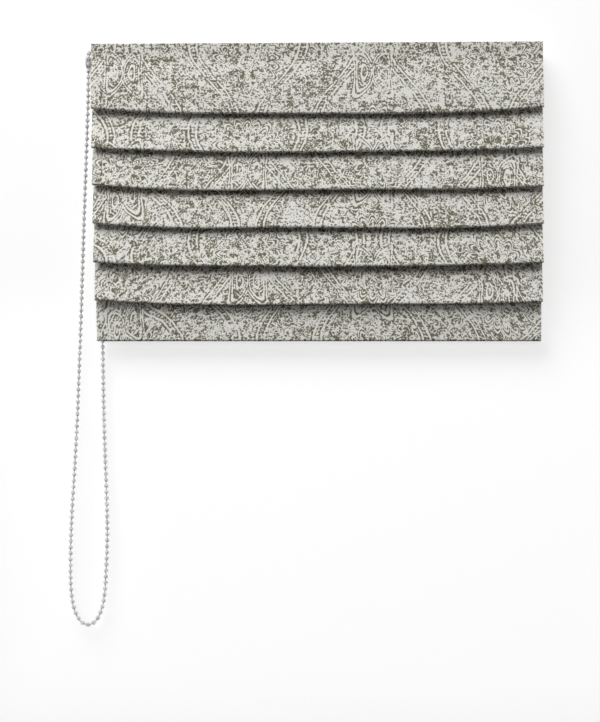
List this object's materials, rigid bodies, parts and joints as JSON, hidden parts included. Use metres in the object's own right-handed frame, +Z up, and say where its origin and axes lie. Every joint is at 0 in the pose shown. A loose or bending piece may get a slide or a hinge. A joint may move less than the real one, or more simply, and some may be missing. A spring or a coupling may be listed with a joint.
{
  "type": "roman blind",
  "caption": "Corded roman blind: a printed cloth panel gathered in soft folds under a headrail, raised by an endless bead chain.",
  "frame": {"origin": "middle of the four wall screw holes, on the wall plane", "axes": "+Z up, +X to the right of someone who faces the blind, -Y out of the wall into the room"},
  "size_m": [0.6348, 0.052, 0.783],
  "materials": {
    "rail_aluminium": "white anodised extrusion",
    "bar_aluminium": "mill finish",
    "zinc_steel": "zinc plated",
    "spring_steel": "bright wire",
    "moulded_white": "satin moulding",
    "clear_plastic": "milky translucent moulding",
    "bead_plastic": "glossy moulded beads",
    "tape_white": "woven tape",
    "cord_white": "braided cord",
    "rod_fibreglass": "pulled fibreglass rod",
    "printed_cloth": "printed woven cloth, off-white on olive taupe"
  },
  "bodies": {
    "rail": {"headrail": "rail_aluminium", "bracket_left": "zinc_steel", "bracket_right": "zinc_steel", "hook_tape": "tape_white", "clutch_housing": "moulded_white", "brake_spring": "spring_steel", "end_cap": "moulded_white", "spool_cradle_left": "moulded_white", "spool_cradle_right": "moulded_white", "lift_cord_left": "cord_white", "lift_cord_right": "cord_white", "cloth": "printed_cloth", "chain_cord": "cord_white", "chain_beads": "bead_plastic"},
    "drive": {"chain_wheel": "moulded_white", "drive_shaft": "rail_aluminium", "idler_bush": "moulded_white", "cord_spool_left": "moulded_white", "cord_spool_right": "moulded_white"},
    "tier_1": {"rod_1": "rod_fibreglass", "rod_pocket_1": "tape_white", "cord_eyelets_1": "clear_plastic"},
    "tier_2": {"rod_2": "rod_fibreglass", "rod_pocket_2": "tape_white", "cord_eyelets_2": "clear_plastic"},
    "tier_3": {"rod_3": "rod_fibreglass", "rod_pocket_3": "tape_white", "cord_eyelets_3": "clear_plastic"},
    "tier_4": {"rod_4": "rod_fibreglass", "rod_pocket_4": "tape_white", "cord_eyelets_4": "clear_plastic"},
    "tier_5": {"rod_5": "rod_fibreglass", "rod_pocket_5": "tape_white", "cord_eyelets_5": "clear_plastic"},
    "tier_6": {"rod_6": "rod_fibreglass", "rod_pocket_6": "tape_white", "cord_eyelets_6": "clear_plastic", "cord_locks": "clear_plastic", "bottom_bar": "bar_aluminium", "bottom_bar_caps": "moulded_white"}
  },
  "joints": [
    {"name": "lift_1", "type": "slide", "parent": "rail", "child": "tier_1", "axis": [0, 0, -1], "range_m": [-0.0255, 0.068], "deforming": ["cloth", "lift_cord_left", "lift_cord_right", "chain_cord", "chain_beads"]},
    {"name": "lift_2", "type": "slide", "parent": "tier_1", "child": "tier_2", "axis": [0, 0, -1], "range_m": [-0.0255, 0.068]},
    {"name": "lift_3", "type": "slide", "parent": "tier_2", "child": "tier_3", "axis": [0, 0, -1], "range_m": [-0.0255, 0.068]},
    {"name": "lift_4", "type": "slide", "parent": "tier_3", "child": "tier_4", "axis": [0, 0, -1], "range_m": [-0.0255, 0.068]},
    {"name": "lift_5", "type": "slide", "parent": "tier_4", "child": "tier_5", "axis": [0, 0, -1], "range_m": [-0.0255, 0.068]},
    {"name": "lift_6", "type": "slide", "parent": "tier_5", "child": "tier_6", "axis": [0, 0, -1], "range_m": [-0.0255, 0.068]},
    {"name": "drive_turn", "type": "hinge", "parent": "rail", "child": "drive", "pos_m": [0, -0.021, -0.004], "axis": [1, 0, 0], "range_deg": [-4325, 1625]}
  ],
  "couplings": [
    {"joint": "lift_2", "follows": "lift_1", "ratio": 1},
    {"joint": "lift_3", "follows": "lift_1", "ratio": 1},
    {"joint": "lift_4", "follows": "lift_1", "ratio": 1},
    {"joint": "lift_5", "follows": "lift_1", "ratio": 1},
    {"joint": "lift_6", "follows": "lift_1", "ratio": 1},
    {"joint": "drive_turn", "follows": "lift_1", "rad_per_m": -1108.8}
  ]
}
